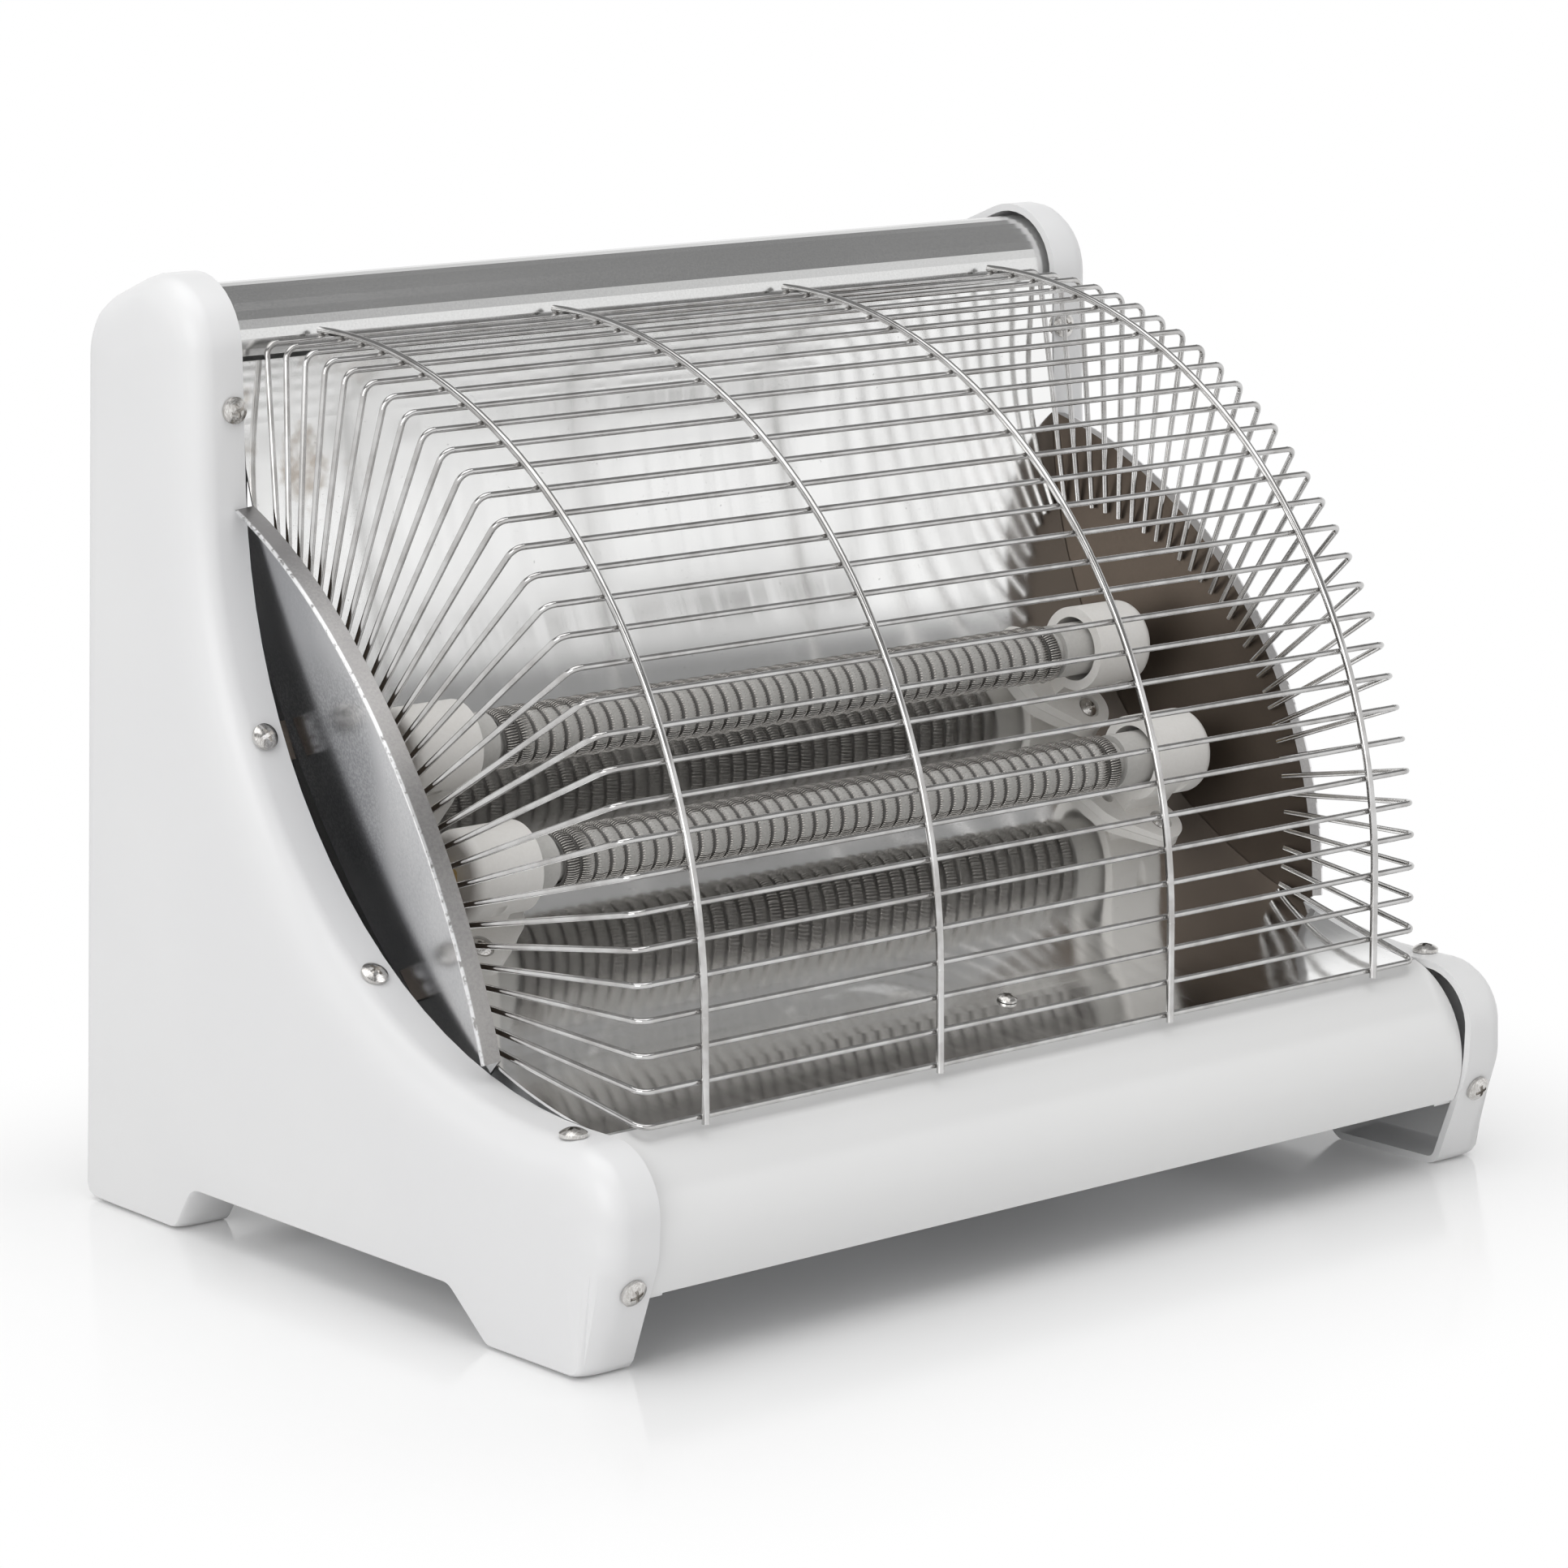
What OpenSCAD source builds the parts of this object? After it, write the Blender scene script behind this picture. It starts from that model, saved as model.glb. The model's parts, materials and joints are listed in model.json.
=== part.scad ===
// Portable electric fire with two wound ceramic rods behind a wire guard.
// Millimetres, +Z up, the front faces -Y, the left end is at -X.
// Origin: middle of the footprint, on the floor.

/* [Overall] */

// Overall width over both end caps
body_w = 360; // [340:5:400]
// Width of each end cap's rim
rim_w = 19.3; // [18:0.1:21]
// Wall of the moulded end caps
cap_wall = 2.3; // [2:0.1:2.6]
// Thickness of the sheet metal
sheet = 0.8; // [0.7:0.1:1]

/* [Guard] */

// Diameter of the guard's cross wires
wire_d = 1.8; // [1.6:0.1:2]
// Diameter of the four hoops
hoop_d = 2.3; // [2:0.1:2.6]
// Number of cross wires
wire_n = 31; // [31:1:31]
// Spacing of the cross wires along the guard's curve
wire_pitch = 10; // [9.8:0.05:10.1]
// Radius of the guard's curved part, to the wire axes
guard_r = 173.1; // [172.5:0.1:173.5]
// Bend radius where a wire turns into its leg
wire_bend = 4; // [3:0.5:5]

/* [Heating rods] */

// Outer diameter of a winding
winding_d = 18.4; // [18:0.1:18.8]
// Diameter of the coiled heating wire
coil_d = 1.9; // [1.7:0.1:2]
// Turns of a winding
turn_n = 40; // [36:1:40]
// Diameter of a rod's plain ends
neck_d = 17; // [16.5:0.1:17.2]
// Outer diameter of a holder's cup
cup_d = 27; // [26:0.5:27.5]
// Bore of a holder's cup
cup_bore_d = 20.7; // [20:0.1:21]

/* [Controls] */

// Tilt of a rocker from off to on, in degrees
rocker_throw = 18; // [14:1:18]
// Travel of the tip-over plunger
plunger_travel = 6; // [4:0.5:6]
// Shank of the plunger that stays in its switch at the end of the travel
plunger_grip = 5; // [3:0.5:7]

/* [Hidden] */

$fn = 64;
half_w = body_w / 2;
rim_x = half_w - rim_w;
// Gap between neighbouring sheets, and between the sheets and the rims
seat_gap = 0.3;
// Gap at faces that rest on each other
touch_gap = 0.05;
// Running clearance of the moving pieces, on the radius
run_gap = 0.05;

// End cap outline: corner points (y, z), corner radii and bevel widths
cap_corners = [
  [130.6, 0], [119.8, 275.3], [60.3, 297.8], [60.3, 65], [-131.8, 65], [-130, 34],
  [-116.9, 0], [-75, 0], [-57.3, 14], [70.7, 14], [80.4, 0]];
cap_radii = [5, 20, 22, 160, 19, 25, 5, 5, 6, 6, 5];
cap_bevels = [1.5, 12, 12, 12, 12, 9, 1.5, 1.2, 1.2, 1.2, 1.2];
cap_steps = [2, 8, 11, 22, 9, 4, 2, 2, 3, 3, 2];
bevel_depth = 9;
bevel_rings = 5;
// The side face rises by a shallow crown to a flat field, whose lower edge is bowed over the feet:
// it drops by the square of Y over field_bow
cap_crown = 0.7;
crown_widths = [3, 7, 7, 7, 6, 7, 3, 3, 7, 7, 3];
field_low = 25;
field_bow = 4000;

// Screws that hold the end caps: (x from the cap's outer face, y, z, angle of the head)
// The angle is from -Y towards +Z, as seen from the right.
screw_in = 12.2;
cap_screws = [
  [15.6, 60.3, 249.2, 0],
  [screw_in, 43.7, 155.1, 26],
  [screw_in, -8.9, 93.3, 55.4],
  [11, -103.2, 65, 90],
  [screw_in, -126.88, 25.9, -21.07]];
screw_head_d = 8;
screw_head_h = 2.5;
screw_shank_d = 4;
screw_len = 11;
// Gap under a screw's head, which clears the hollow curve of the rim
screw_lift = 0.2;
screw_hole_gap = 0.15;
recess_w = 1.1;
recess_depth = 1.5;
// Tabs that take the cap screws: thickness, width and how far they go past the screw
tab_t = 1;
tab_w = 12;
tab_reach = 3.2;

// Reflector: vertical top, then a curve that runs out level at the front
refl_y = 60.8;
refl_z = 63.5;
refl_r = 181;
refl_c = [refl_y - refl_r, refl_z + refl_r];
refl_top = 263;
refl_front = -104.5;

// Side plates: lens shaped, flared outwards about the chord
plate_mid = [-8.2, 145.7];
plate_lean = 36.9;
plate_flare = 13;
plate_x = rim_x + 0.7;
plate_front_r = 168.1;
plate_rise = 24.8;
flange_w = 6;
// Turn of the front edge from its middle, up and down
edge_up = 36.5;
edge_down = 31;
// How far the plate runs on behind the reflector, and how deep its two tabs lie under the rim
plate_past = 16;
plate_tab_drop = 5;

// Guard
guard_c = [59.6, 94.8];
guard_start = 89.9;
corner_x = 152.9;
// The legs point at one line along X and stop on a cylinder
aim = [38, 97];
leg_stop_c = [57.2, 86.2];
leg_stop_r = 106.7;
hoop_x = [-132.4, -45.7, 45.7, 132.4];
weld_gap = 0.02;
// A joint ball is this much larger than the wire that it joins
joint_lift = 0.04;

// Heating rods: axes (y, z)
rod_axes = [[10.3, 152.1], [-17.7, 120.5]];
winding_half = 112;
coil_path_r = (winding_d - coil_d) / 2;
coil_rings = 8;
coil_sides = 6;
core_r = coil_path_r * cos(180 / coil_rings) - coil_d / 2 - touch_gap;
cup_face = 123;
cup_len = 23.5;
cup_bore_depth = 20;
rod_half = cup_face + cup_bore_depth - 2 * touch_gap;

// Holder foot in its own plane: x from the middle, s down the slope
foot_top = 16.8;
foot_t = 8;
counterbore = 1.2;
lead_r = 2.2;
foot_mid = [127, 2];
foot_r = 12;
ear_off = [8.8, 12.1];
ear_r = 7.6;
ear_bore_r = 3.9;
ear_hole_r = 2;
spare_hole = [121.2, 1.7];

// Front bar
bar_c = [-97.5, 36];
bar_r = 30;
bar_wall = 2;
bar_from = 108.4;
bar_to = 206.5;
// Lip along the bar's top edge, flange along its lower edge: widths, and the flange's thickness
bar_lip_w = 18;
bar_foot_w = 20;
bar_foot_t = 1.5;

// Top cover and rear
cover_in = 4;
// How far the cover runs into each rim, and the radius of its pads
cover_reach = 9;
pad_r = 3;
base_z = 21.1;
base_t = 1;
// Top face of the base plate, with the gap under what rests on it
base_top = base_z + sheet + base_t + 2 * touch_gap;
rear_slope = atan2(cap_corners[0][0] - cap_corners[1][0], cap_corners[1][1]);

// Rocker switches in the right end cap, and the tip-over switch
switch_y = 85;
switch_z = [150, 118];
panel_z = (switch_z[0] + switch_z[1]) / 2;
panel_size = [27, 66];
panel_in = 4.6;
switch_x = half_w - panel_in;
bezel = [2, 15, 21];
switch_body = [22, 12.6, 18.6];
rocker_size = [5, 10.4, 16.6];
pivot_r = 1.1;
pivot_len = 1.6;
plunger_r = 3;
plunger_at = [0, 75];
// Far enough to cut right through whatever is being cut
through = 40;

function unit(v) = v / norm(v);
function turn(a) = [cos(a), sin(a)];
function wrap(i, n) = (i % n + n) % n;

// One rounded corner as points: each is [y, z, normal y, normal z, bevel, crown width]
function corner(p, q, s, r, w, c_w, n) =
  let (a = unit(p - q), b = unit(s - q))
  let (half = acos(a * b) / 2, t = r / tan(half))
  let (c = q + unit(a + b) * (r / sin(half)))
  let (side = sign(a[0] * b[1] - a[1] * b[0]))
  let (from = q + a * t, to = q + b * t)
  let (a0 = atan2(from[1] - c[1], from[0] - c[0]))
  let (span = (180 - 2 * half) * (side > 0 ? -1 : 1))
  [for (k = [0 : n]) let (d = turn(a0 + span * k / n))
    [c[0] + r * d[0], c[1] + r * d[1],
     d[0] * (side > 0 ? -1 : 1), d[1] * (side > 0 ? -1 : 1), w, c_w]];

cap_path = [for (i = [0 : len(cap_corners) - 1]) let (n = len(cap_corners))
  each corner(cap_corners[wrap(i - 1, n)], cap_corners[i], cap_corners[wrap(i + 1, n)],
    cap_radii[i], cap_bevels[i], crown_widths[i], cap_steps[i])];

// A ring of the cap's skin: the outline moved in by the wall and by a share of the bevel
function skin_ring(x, wall, share) = [for (p = cap_path)
  [x, p[0] - p[2] * (wall + p[4] * share), p[1] - p[3] * (wall + p[4] * share)]];

// Closed solid from equal rings, with flat ends
module loft(rings) {
  n = len(rings[0]);
  m = len(rings);
  side_faces = [for (j = [0 : m - 2], i = [0 : n - 1]) let (k = (i + 1) % n)
    each [[j * n + i, (j + 1) * n + i, j * n + k], [j * n + k, (j + 1) * n + i, (j + 1) * n + k]]];
  polyhedron([for (r = rings) each r],
    concat([[for (i = [0 : n - 1]) i]], side_faces,
      [[for (i = [n - 1 : -1 : 0]) (m - 1) * n + i]]));
}

// Edge of the flat field on top of the crown, the same for both skins
function field_ring(x) = [for (p = cap_path) let (w = p[4] + p[5])
  [x, p[0] - p[2] * w, max(field_low - p[0] * p[0] / field_bow, p[1] - p[3] * w)]];

// Rings of a skin inside the cap's outline, from the open side out to the face at x1
function skin(x1, wall, deep) = concat([skin_ring(rim_x, wall, 0)],
  [for (k = [0 : bevel_rings]) let (a = 90 * k / bevel_rings)
    skin_ring(x1 - cap_crown - deep * (1 - sin(a)), wall, 1 - cos(a))],
  [field_ring(x1)]);

// Open moulded shell: the inner skin's rings run in, then the outer skin's run out
module cap_shell() {
  inner_depth = bevel_depth - cap_wall - cap_crown;
  inner = skin(half_w - cap_wall, cap_wall, inner_depth);
  loft(concat([for (k = [len(inner) - 1 : -1 : 0]) inner[k]], skin(half_w, 0, bevel_depth)));
}

// Puts a drawing in (y, z) in place and runs it along X
module along_x(x0, x1) {
  translate([x0, 0, 0]) rotate([90, 0, 90]) linear_extrude(x1 - x0) children();
}

// Strip of sheet along an arc, drawn in (y, z); t goes inwards from r
module arc_strip(c, r, t, a0, a1) {
  far = 2 * r;
  mid = (a0 + a1) / 2;
  translate(c) intersection() {
    difference() {
      circle(r, $fn = 128);
      circle(r - t, $fn = 128);
    }
    polygon([[0, 0], far * turn(a0), far * turn(mid), far * turn(a1)]);
  }
}

// Frame of a screw: +Z is out of the surface
module screw_frame(s, side) {
  translate([side * (half_w - s[0]), s[1], s[2]]) rotate([90 - s[3], 0, 0]) children();
}

// Cross recessed pan head screw, seated at z = 0
module pan_screw(head_d, head_h, shank_d, shank_len) {
  dome_r = head_d * 0.78;
  recess_len = head_d * 0.54;
  recess_turn = 20;
  difference() {
    union() {
      intersection() {
        cylinder(r = head_d / 2, h = head_h);
        translate([0, 0, head_h - dome_r]) sphere(r = dome_r);
      }
      translate([0, 0, -shank_len]) cylinder(r = shank_d / 2, h = shank_len + head_h / 2);
    }
    for (a = [0, 90]) rotate([0, 0, a + recess_turn])
      translate([-recess_len / 2, -recess_w / 2, head_h - recess_depth])
        cube([recess_len, recess_w, recess_depth * 2]);
  }
}

// Holes for the cap screws, as seen at the right end
module cap_holes() {
  for (s = cap_screws) screw_frame(s, 1)
    translate([0, 0, -2 * cap_wall])
      cylinder(r = screw_shank_d / 2 + screw_hole_gap, h = 4 * cap_wall);
}

module left_end_cap() color([0.93, 0.93, 0.94]) mirror([1, 0, 0]) difference() {
  cap_shell();
  cap_holes();
}

// Rounded rectangle in (y, z) around the switches
module panel_outline(grow) {
  r = 5;
  w = panel_size[0] / 2 + grow - r;
  h = panel_size[1] / 2 + grow - r;
  translate([switch_y, panel_z]) {
    for (y = [-w, w], z = [-h, h]) translate([y, z]) circle(r);
    square([2 * w, 2 * (h + r)], center = true);
    square([2 * (w + r), 2 * h], center = true);
  }
}

// The right end cap has a sunk panel in its face for the two switches
module right_end_cap() color([0.93, 0.93, 0.94]) difference() {
  union() {
    difference() {
      cap_shell();
      along_x(half_w - 2 * cap_wall, half_w + 1) panel_outline(0);
    }
    difference() {
      along_x(half_w - panel_in - cap_wall, half_w - cap_wall / 2) panel_outline(cap_wall);
      along_x(half_w - panel_in, half_w + 1) panel_outline(0);
    }
  }
  for (z = switch_z)
      translate([half_w - panel_in - 2 * cap_wall, switch_y, z])
        switch_box([4 * cap_wall, switch_body[1] + seat_gap, switch_body[2] + seat_gap]);
  cap_holes();
}

module cap_screw_set(side) {
  for (s = cap_screws) screw_frame(s, side) translate([0, 0, screw_lift])
    pan_screw(screw_head_d, screw_head_h, screw_shank_d, screw_len);
}

module left_cap_screws() color([0.75, 0.74, 0.72]) cap_screw_set(-1);

module right_cap_screws() color([0.75, 0.74, 0.72]) cap_screw_set(1);

// Tabs behind the rims' walls that take a cap screw; they run inwards by `run`, `drop` under the wall
module tab(s, run, drop = 0) {
  for (side = [-1, 1]) screw_frame(s, side)
    difference() {
      translate([side > 0 ? -run : -tab_reach, -tab_w / 2, -cap_wall - seat_gap - drop - tab_t])
        cube([run + tab_reach, tab_w, tab_t]);
      translate([0, 0, -3 * cap_wall - drop])
        cylinder(r = screw_shank_d / 2 + touch_gap, h = 4 * cap_wall);
    }
}

module front_bar() color([0.94, 0.94, 0.95]) {
  end_x = rim_x - seat_gap;
  lip_z = cap_screws[3][2] - cap_wall - seat_gap;
  toe = bar_c + (bar_r - bar_wall) * turn(bar_to);
  along_x(-end_x, end_x) {
    arc_strip(bar_c, bar_r, bar_wall, bar_from, bar_to);
    translate([bar_c[0] - 11.2, lip_z - tab_t]) square([bar_lip_w, tab_t]);
    translate([toe[0] - 0.5, base_top]) square([bar_foot_w, bar_foot_t]);
  }
  tab(cap_screws[3], 20);
  tab(cap_screws[4], 14);
}

// Centre of the end cap's corner i
function corner_centre(i) =
  let (a = unit(cap_corners[i - 1] - cap_corners[i]), b = unit(cap_corners[i + 1] - cap_corners[i]))
  cap_corners[i] + unit(a + b) * (cap_radii[i] / sin(acos(a * b) / 2));

// Outline of the top cover's outer face: the end cap's outline moved in
cover_arc_c = corner_centre(2);
cover_r = cap_radii[2] - cover_in;
roof = cap_corners[2] - cap_corners[1];
roof_a = atan2(-roof[0], roof[1]);
rear_turn_c = corner_centre(1);
rear_turn_r = cap_radii[1] - cover_in;
rear_down = [sin(rear_slope), -cos(rear_slope)];
roof_mid = (cover_arc_c + cover_r * turn(roof_a) + rear_turn_c + rear_turn_r * turn(roof_a)) / 2;
bend_steps = 12;
// How far the cover runs down the rear, and how much of that overlaps the back panel
cover_drop = 30;
cover_lap = 18;
panel_lip_w = 14;
front_hem = 2;
rear_edge = rear_turn_c + rear_turn_r * turn(rear_slope);
panel_edge = rear_edge - (sheet + seat_gap) * turn(rear_slope);
// Y of the back panel's outer face at a height
function panel_y(z) = panel_edge[0] + (panel_edge[1] - z) * tan(rear_slope);

// Line of the top cover, d below its outer face
function cover_line(d) = concat(
  [cover_arc_c + [d - cover_r, -front_hem]],
  [for (k = [0 : bend_steps])
    cover_arc_c + (cover_r - d) * turn(180 + (roof_a - 180) * k / bend_steps)],
  [for (k = [0 : bend_steps])
    rear_turn_c + (rear_turn_r - d) * turn(roof_a + (rear_slope - roof_a) * k / bend_steps)],
  [rear_turn_c + (rear_turn_r - d) * turn(rear_slope) + cover_drop * rear_down]);

// Line of the back panel and the lip at its foot, d below the outer face
function panel_line(d) = [
  panel_edge + (cover_drop - cover_lap) * rear_down - d * turn(rear_slope),
  [panel_y(base_z) - d, base_z + d],
  [panel_y(base_z) - panel_lip_w, base_z + d]];

// Bent sheet between two such lines
module bent_sheet(outer, inner) {
  polygon(concat(outer, [for (i = [len(inner) - 1 : -1 : 0]) inner[i]]));
}

// The cover's ends lie inside the rims, on raised pads that meet the rims' walls
module top_cover() color([0.8, 0.8, 0.81]) {
  end_x = rim_x + cover_reach;
  pad_h = cover_in - cap_wall - 2 * touch_gap;
  along_x(-end_x, end_x) bent_sheet(cover_line(0), cover_line(sheet));
  for (x = [-1, 1]) translate([x * (end_x - cover_reach / 2), 0, 0]) {
    translate([0, roof_mid[0], roof_mid[1]]) rotate([roof_a - 90, 0, 0])
      translate([0, 0, -sheet]) cylinder(r = pad_r, h = pad_h + sheet);
    for (k = [8, 22]) let (p = rear_edge + k * rear_down)
      translate([0, p[0], p[1]]) rotate([rear_slope - 90, 0, 0])
        translate([0, 0, -sheet]) cylinder(r = pad_r, h = pad_h + sheet);
  }
}

// Vent slots in the back panel, in two rows, and in the base
vent_n = 17;
vent_step = 15;
vent_len = 26;
vent_r = 2.4;
vent_rows = [50, 205];
base_slot_len = 30;
base_slot_y = -10;
// Y from which the back panel's holes are cut
rear_cut_y = 110;

module back_panel() color([0.9, 0.9, 0.91]) {
  difference() {
    along_x(-rim_x + seat_gap, rim_x - seat_gap)
      bent_sheet(panel_line(0), panel_line(sheet));
    for (i = [0 : vent_n - 1], z = vent_rows)
      translate([(i - (vent_n - 1) / 2) * vent_step, rear_cut_y, z])
        vent_slot(vent_r, vent_len, through);
    translate([inlet_at[0], rear_cut_y, inlet_at[1]]) rotate([-90, 0, 0])
      cylinder(r = inlet_r, h = through);
  }
}

// Upright slot with round ends, cut along +Y
module vent_slot(r, l, depth) {
  for (z = [-l / 2, l / 2]) translate([0, 0, z]) rotate([-90, 0, 0]) cylinder(r = r, h = depth);
  translate([-r, 0, -l / 2]) cube([2 * r, depth, l]);
}

inlet_r = 6;
inlet_at = [110, 105];

// Bush with a flange on each side of the back panel and a bore for the cord
module cord_bush() color([0.12, 0.12, 0.13]) {
  cord_r = 3.4;
  neck_r = inlet_r - 0.5;
  translate([inlet_at[0], panel_y(inlet_at[1]), inlet_at[1]]) rotate([rear_slope - 90, 0, 0])
    difference() {
      union() {
        translate([0, 0, -6]) cylinder(r = neck_r, h = 10);
        translate([0, 0, 0.6]) cylinder(r = inlet_r + 2, h = 4);
        translate([0, 0, -4]) cylinder(r = inlet_r + 1.5, h = 2.6);
      }
      translate([0, 0, -through / 2]) cylinder(r = cord_r, h = through);
    }
}

module base_plate() color([0.82, 0.82, 0.83]) {
  y0 = bar_c[0] - bar_foot_w;
  y1 = panel_y(base_z) - 2;
  plunger_hole_r = plunger_r + 1.5;
  difference() {
    translate([-rim_x + seat_gap, y0, base_top - base_t - touch_gap])
      cube([2 * (rim_x - seat_gap), y1 - y0, base_t]);
    for (i = [0 : vent_n - 1])
      translate([(i - (vent_n - 1) / 2) * vent_step - vent_r, base_slot_y, 0])
        cube([2 * vent_r, base_slot_len, through]);
    translate([plunger_at[0], plunger_at[1], 0]) cylinder(r = plunger_hole_r, h = through);
  }
}

// Region outside a side plate's inner face, for trimming what ends at it
module beyond_plate(side) {
  mirror([side < 0 ? 1 : 0, 0, 0]) plate_frame()
    translate([-seat_gap, -body_w, -body_w]) cube(2 * body_w);
}

// Right side plate's frame: X is its normal, -Y its front, Z along the chord
module plate_frame() {
  translate([plate_x, plate_mid[0], plate_mid[1]]) rotate([-plate_lean, 0, 0])
    rotate([0, 0, plate_flare]) children();
}

module side_plate() {
  centre = [plate_front_r - plate_rise, 0];
  low = -plate_front_r * sin(edge_down);
  high = plate_front_r * sin(edge_up);
  intersection() {
    plate_frame() along_x(0, sheet) intersection() {
      translate(centre) circle(plate_front_r, $fn = 128);
      translate([-plate_rise - sheet, low]) square([plate_front_r, high - low]);
    }
    along_x(0, half_w) translate(refl_c) circle(refl_r + plate_past, $fn = 128);
  }
  plate_frame() along_x(0, flange_w)
    arc_strip(centre, plate_front_r, sheet, 180 - edge_up, 180 + edge_down);
}

module plate_tabs() {
  for (s = [cap_screws[1], cap_screws[2]])
    intersection() {
      tab(s, 14, plate_tab_drop);
      translate([0, -half_w, 0]) cube(2 * half_w);
    }
}

module right_side_plate() color([0.7, 0.7, 0.71]) {
  side_plate();
  plate_tabs();
}

module left_side_plate() color([0.7, 0.7, 0.71]) mirror([1, 0, 0]) {
  side_plate();
  plate_tabs();
}

module reflector() color([0.78, 0.78, 0.79]) {
  end_x = rim_x - seat_gap;
  front_a = -acos((refl_front - refl_c[0]) / refl_r);
  difference() {
    along_x(-end_x, end_x) {
      arc_strip(refl_c, refl_r + sheet, sheet, front_a, 0);
      translate([refl_y, refl_c[1] - seat_gap]) square([sheet, refl_top - refl_c[1] + seat_gap]);
    }
    beyond_plate(1);
    beyond_plate(-1);
    for (x = [-1, 1], a = rod_axes) holder_frame(a, x)
      translate([foot_mid[0] + ear_off[0], foot_mid[1] + ear_off[1], -through])
        cylinder(r = ear_hole_r, h = 2 * through);
    reflector_screw_frame() translate([0, 0, -through / 2])
      cylinder(r = reflector_screw_d / 2 + 2 * touch_gap, h = through);
  }
  tab(cap_screws[0], 16);
  for (side = [-1, 1])
    translate([side * step_x - step_w / 2, refl_y + sheet / 2, cap_screws[0][2] - tab_w / 2])
      cube([step_w, step_depth, tab_w]);
}

reflector_screw_at = [15.9, -76.3];
reflector_screw_d = 2.9;
// Block that joins the reflector's sheet to the tab behind it
step_x = 154;
step_w = 10;
step_depth = 2.6;

// Frame of the reflector's screw: +Z is out of the sheet
module reflector_screw_frame() {
  tilt = asin((reflector_screw_at[1] - refl_c[0]) / refl_r);
  translate([reflector_screw_at[0], refl_c[0], refl_c[1]]) rotate([tilt, 0, 0])
    translate([0, 0, -refl_r]) children();
}

module reflector_screw() color([0.8, 0.8, 0.8])
  reflector_screw_frame() translate([0, 0, screw_lift])
    pan_screw(6, 1.8, reflector_screw_d, 8);

// Point of the guard's curve for wire i, as (y, z)
function guard_point(i) =
  let (a = guard_start - i * wire_pitch / guard_r * 180 / PI)
  a > 0 ? guard_c + guard_r * [-cos(a), sin(a)]
    : guard_c + [-guard_r, a * PI / 180 * guard_r];

// Where the leg of a wire at p stops
function leg_stop(p) =
  let (d = unit(aim - p), q = p - leg_stop_c)
  p + d * (-(q * d) - sqrt((q * d) * (q * d) - q * q + leg_stop_r * leg_stop_r));

// Inner face of the side plate at a point (y, z)
function plate_inner_x(p) =
  plate_x + tan(plate_flare) * ((p - plate_mid) * [-cos(plate_lean), sin(plate_lean)]);

// Guard wire in its own plane: straight, then a bend and a leg at each end
module guard_wire(i) {
  p = guard_point(i);
  stop = leg_stop(p);
  reach = norm(p - stop);
  stop_x = plate_inner_x(stop) - (wire_d / 2 + weld_gap) / cos(plate_flare);
  phi = atan2(reach, stop_x - corner_x);
  t = wire_bend * tan(phi / 2);
  way = unit(stop - p);
  leg = norm([reach, stop_x - corner_x]) - t;
  translate([0, p[0], p[1]]) rotate([atan2(-way[0], way[1]), 0, 0]) {
    translate([t - corner_x, 0, 0]) rotate([0, 90, 0])
      cylinder(r = wire_d / 2, h = 2 * (corner_x - t), $fn = 24);
    for (side = [0, 1]) mirror([side, 0, 0]) {
      for (q = [[corner_x - t, 0], [corner_x + t * cos(phi), t * sin(phi)]])
        translate([q[0], 0, q[1]]) sphere(r = wire_d / 2 + joint_lift, $fn = 24);
      translate([corner_x - t, 0, wire_bend]) rotate([90, 0, 0]) rotate([0, 0, -90])
        rotate_extrude(angle = phi, $fn = 48) translate([wire_bend, 0])
          circle(wire_d / 2, $fn = 24);
      translate([corner_x + t * cos(phi), 0, t * sin(phi)]) rotate([0, 90 - phi, 0])
        cylinder(r = wire_d / 2, h = leg, $fn = 24);
    }
  }
}

module guard_wires() color([0.72, 0.72, 0.7]) {
  for (i = [0 : wire_n - 1]) guard_wire(i);
}

module guard_hoops() color([0.72, 0.72, 0.7]) {
  r = guard_r + wire_d / 2 + hoop_d / 2 + weld_gap;
  low = guard_point(wire_n - 1)[1] - wire_d;
  over = 0.7;
  for (x = hoop_x) translate([x, guard_c[0], 0]) {
    translate([0, 0, guard_c[1]]) rotate([90, 0, 90]) rotate([0, 0, 180 - guard_start - over])
      rotate_extrude(angle = guard_start + over, $fn = 128)
        translate([r, 0]) circle(hoop_d / 2, $fn = 24);
    translate([0, -r, guard_c[1]]) sphere(r = hoop_d / 2 + joint_lift, $fn = 24);
    translate([0, -r, low]) cylinder(r = hoop_d / 2, h = guard_c[1] - low, $fn = 24);
  }
}

// Frame of a holder: X outwards from the middle, Y down the slope, Z off the reflector,
// with the rod's axis at z = 0
module holder_frame(axis, side) {
  out = refl_c - axis;
  mirror([side < 0 ? 1 : 0, 0, 0]) translate([0, axis[0], axis[1]])
    rotate([atan2(-out[0], out[1]), 0, 0]) mirror([0, 1, 0]) children();
}

// Two circles and the straight tangents between them
module tangent_pair(c1, r1, c2, r2) {
  d = c2 - c1;
  a = atan2(d[1], d[0]);
  b = acos((r1 - r2) / norm(d));
  translate(c1) circle(r1);
  translate(c2) circle(r2);
  polygon([c1 + r1 * turn(a + b), c2 + r2 * turn(a + b),
    c2 + r2 * turn(a - b), c1 + r1 * turn(a - b)]);
}

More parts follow.
